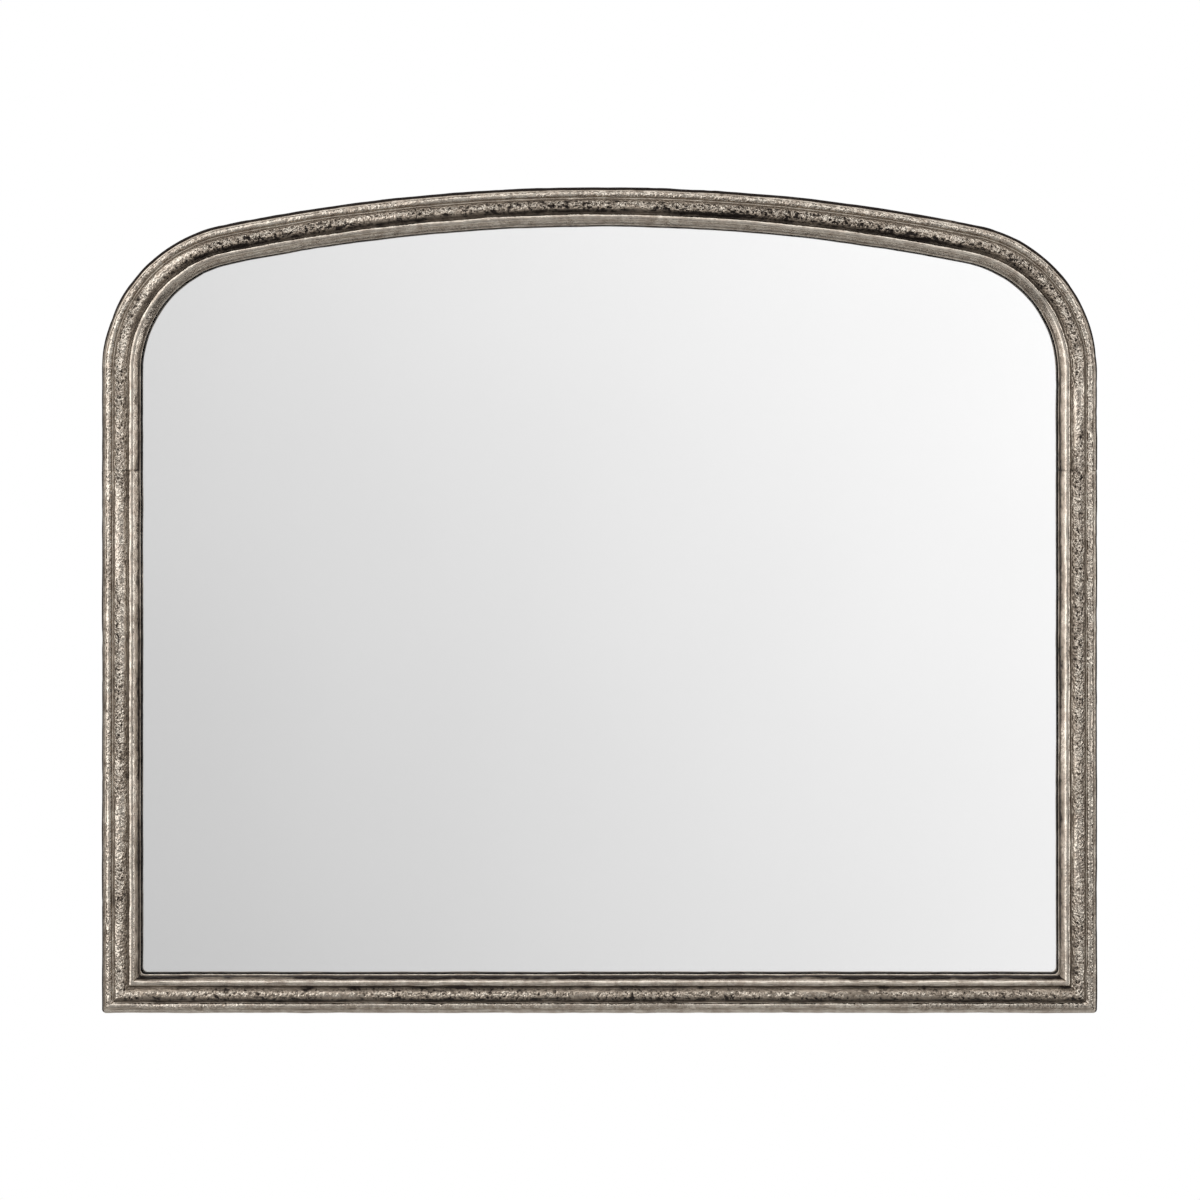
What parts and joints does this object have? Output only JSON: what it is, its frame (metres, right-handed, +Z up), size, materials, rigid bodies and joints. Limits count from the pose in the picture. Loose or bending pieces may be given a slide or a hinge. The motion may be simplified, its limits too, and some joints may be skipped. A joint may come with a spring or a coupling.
{
  "type": "arched wall mirror",
  "caption": "Wide wall mirror with a shallow arched top, in a reeded sand-cast frame with an antique silver finish, hung from swinging rings behind its sides.",
  "frame": {"origin": "on the wall, midway between the two hanging rings and level with the bars that they swing on", "axes": "+X to the right of someone looking at the glass, +Y into the wall, +Z up"},
  "size_m": [1, 0.0352, 0.83],
  "materials": {
    "cast_frame": "sand-cast, antique silver patina, dark wax in the grooves",
    "mirror": "polished float glass, silvered on the back",
    "felt": "pressed felt",
    "foam": "closed-cell foam sheet",
    "fibreboard": "medium-density fibreboard, sanded",
    "plate_steel": "zinc plated",
    "zinc_screws": "zinc plated",
    "hanger_steel": "nickel plated",
    "block_rubber": "cut from extruded strip",
    "bumper_rubber": "moulded, satin"
  },
  "bodies": {
    "mirror": {"arch_casting": "cast_frame", "bottom_rail": "cast_frame", "left_stile": "cast_frame", "right_stile": "cast_frame", "mirror_glass": "mirror", "bedding_tape": "felt", "foam_sheet": "foam", "backing_board": "fibreboard", "left_splice_plate": "plate_steel", "right_splice_plate": "plate_steel", "left_corner_plate": "plate_steel", "right_corner_plate": "plate_steel", "plate_screws": "zinc_screws", "board_screws": "zinc_screws", "hanger_screws": "zinc_screws", "left_hanger_strap": "hanger_steel", "right_hanger_strap": "hanger_steel", "left_setting_block": "block_rubber", "right_setting_block": "block_rubber", "left_lower_packer": "block_rubber", "right_lower_packer": "block_rubber", "left_upper_packer": "block_rubber", "right_upper_packer": "block_rubber", "left_lower_bumper": "bumper_rubber", "right_lower_bumper": "bumper_rubber", "left_upper_bumper": "bumper_rubber", "right_upper_bumper": "bumper_rubber"},
    "left_ring": {"left_hanging_ring": "hanger_steel"},
    "right_ring": {"right_hanging_ring": "hanger_steel"}
  },
  "joints": [
    {"name": "left_ring_swing", "type": "hinge", "parent": "mirror", "child": "left_ring", "pos_m": [-0.48575, -0.0046, 0], "axis": [1, 0, 0], "range_deg": [0, 184]},
    {"name": "right_ring_swing", "type": "hinge", "parent": "mirror", "child": "right_ring", "pos_m": [0.48575, -0.0046, 0], "axis": [1, 0, 0], "range_deg": [0, 184]}
  ]
}
